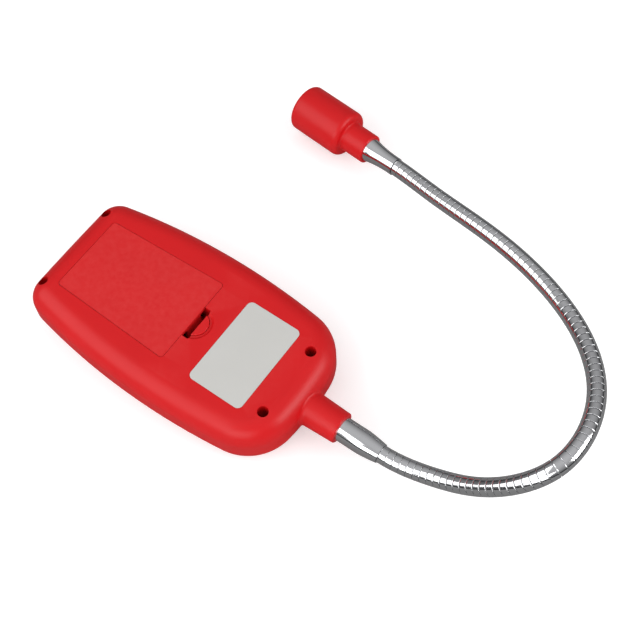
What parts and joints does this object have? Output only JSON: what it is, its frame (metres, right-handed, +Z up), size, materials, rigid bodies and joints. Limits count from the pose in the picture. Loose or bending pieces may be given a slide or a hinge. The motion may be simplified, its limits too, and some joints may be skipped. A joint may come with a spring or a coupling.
{
  "type": "combustible gas detector",
  "caption": "Handheld combustible gas detector: a rounded red case with a battery door on its back, and a bendable chrome gooseneck that carries a red sensor head.",
  "frame": {"origin": "centre of the flat front face that the detector rests on", "axes": "+X towards the gooseneck along the case, +Z up out of the back of the case"},
  "size_m": [0.2535, 0.1866, 0.0553],
  "materials": {
    "red_shell": "fine satin moulding, red",
    "label_film": "blank pale grey film, matt",
    "fascia_film": "dark grey film, matt",
    "key_rubber": "grey silicone, matt",
    "lamp_lens": "milky lamp lens",
    "neck_chrome": "polished chrome plate",
    "plain_steel": "zinc plated steel",
    "contact_nickel": "nickel plated sheet",
    "cell_jacket": "plain dark cell jacket",
    "board_laminate": "green solder mask",
    "part_black": "black component moulding",
    "part_white": "natural nylon"
  },
  "bodies": {
    "detector_case": {"rear_case": "red_shell", "front_case": "red_shell", "neck_collar": "red_shell", "rating_label": "label_film", "fascia": "fascia_film", "power_switch": "part_black", "plus_switch": "part_black", "minus_switch": "part_black", "level_lamp_1": "lamp_lens", "level_lamp_2": "lamp_lens", "level_lamp_3": "lamp_lens", "level_lamp_4": "lamp_lens", "level_lamp_5": "lamp_lens", "battery_cell_1": "cell_jacket", "battery_cell_2": "cell_jacket", "battery_cell_3": "cell_jacket", "positive_contact": "contact_nickel", "negative_contact": "contact_nickel", "nose_bridge_contact": "contact_nickel", "end_bridge_contact": "contact_nickel", "case_screws": "plain_steel", "board_screws": "plain_steel", "neck_nut": "plain_steel", "neck_washer": "plain_steel", "base_ferrule": "neck_chrome", "gooseneck_01": "neck_chrome", "main_board": "board_laminate", "main_chip": "part_black", "sounder": "part_black", "sensor_connector": "part_white"},
    "neck_2": {"gooseneck_02": "neck_chrome"},
    "neck_3": {"gooseneck_03": "neck_chrome"},
    "neck_4": {"gooseneck_04": "neck_chrome"},
    "neck_5": {"gooseneck_05": "neck_chrome"},
    "neck_6": {"gooseneck_06": "neck_chrome"},
    "neck_7": {"gooseneck_07": "neck_chrome"},
    "neck_8": {"gooseneck_08": "neck_chrome"},
    "neck_9": {"gooseneck_09": "neck_chrome"},
    "neck_10": {"gooseneck_10": "neck_chrome"},
    "neck_11": {"gooseneck_11": "neck_chrome"},
    "sensor_head": {"gooseneck_12": "neck_chrome", "tip_ferrule": "neck_chrome", "head_housing": "red_shell", "sensor_board": "board_laminate", "gas_sensor": "plain_steel", "sensor_sleeve": "plain_steel", "gauze_disc": "plain_steel", "head_guard": "part_black"},
    "power_key": {"power_key": "key_rubber", "power_plunger": "part_white"},
    "plus_key": {"plus_key": "key_rubber", "plus_plunger": "part_white"},
    "minus_key": {"minus_key": "key_rubber", "minus_plunger": "part_white"},
    "battery_door": {"battery_door": "red_shell"}
  },
  "joints": [
    {"name": "neck_bend_1", "type": "hinge", "parent": "detector_case", "child": "neck_2", "pos_m": [0.12117, 0.00105, 0.01424], "axis": [-0.122, -0.0168, 0.9924], "range_deg": [-30, 4]},
    {"name": "neck_bend_2", "type": "hinge", "parent": "neck_2", "child": "neck_3", "pos_m": [0.14587, 0.00492, 0.02297], "axis": [0.1732, -0.9849, 0], "range_deg": [-12, 15]},
    {"name": "neck_bend_3", "type": "hinge", "parent": "neck_3", "child": "neck_4", "pos_m": [0.16571, 0.01152, 0.0394], "axis": [-0.55, -0.3294, 0.7674], "range_deg": [-30, 4]},
    {"name": "neck_bend_4", "type": "hinge", "parent": "neck_4", "child": "neck_5", "pos_m": [0.17843, 0.03015, 0.05113], "axis": [0.9883, -0.1522, 0], "range_deg": [-12, 15]},
    {"name": "neck_bend_5", "type": "hinge", "parent": "neck_5", "child": "neck_6", "pos_m": [0.17544, 0.05605, 0.0471], "axis": [-0.0763, 0.2164, 0.9733], "range_deg": [-30, 4]},
    {"name": "neck_bend_6", "type": "hinge", "parent": "neck_6", "child": "neck_7", "pos_m": [0.16201, 0.07806, 0.04081], "axis": [0.7398, 0.6728, 0], "range_deg": [-12, 15]},
    {"name": "neck_bend_7", "type": "hinge", "parent": "neck_7", "child": "neck_8", "pos_m": [0.14198, 0.09458, 0.03486], "axis": [-0.1682, 0.1054, 0.9801], "range_deg": [-30, 4]},
    {"name": "neck_bend_8", "type": "hinge", "parent": "neck_8", "child": "neck_9", "pos_m": [0.11829, 0.10603, 0.03064], "axis": [0.3474, 0.9377, 0], "range_deg": [-12, 15]},
    {"name": "neck_bend_9", "type": "hinge", "parent": "neck_9", "child": "neck_10", "pos_m": [0.09295, 0.11363, 0.02702], "axis": [-0.1596, 0.0396, 0.9864], "range_deg": [-30, 4]},
    {"name": "neck_bend_10", "type": "hinge", "parent": "neck_10", "child": "neck_11", "pos_m": [0.06741, 0.11948, 0.02185], "axis": [0.22, 0.9755, 0], "range_deg": [-12, 15]},
    {"name": "neck_bend_11", "type": "hinge", "parent": "neck_11", "child": "sensor_head", "pos_m": [0.04199, 0.12566, 0.01644], "axis": [-0.1614, 0.0379, 0.9862], "range_deg": [-30, 4]},
    {"name": "battery_door_hinge", "type": "hinge", "parent": "detector_case", "child": "battery_door", "pos_m": [-0.058, 0, 0.027], "axis": [0, -1, 0], "range_deg": [0, 35]},
    {"name": "power_key_press", "type": "slide", "parent": "detector_case", "child": "power_key", "axis": [0, 0, 1], "range_m": [0, 0.0003], "stiffness_N_per_m": 800},
    {"name": "plus_key_press", "type": "slide", "parent": "detector_case", "child": "plus_key", "axis": [0, 0, 1], "range_m": [0, 0.0003], "stiffness_N_per_m": 800},
    {"name": "minus_key_press", "type": "slide", "parent": "detector_case", "child": "minus_key", "axis": [0, 0, 1], "range_m": [0, 0.0003], "stiffness_N_per_m": 800}
  ]
}
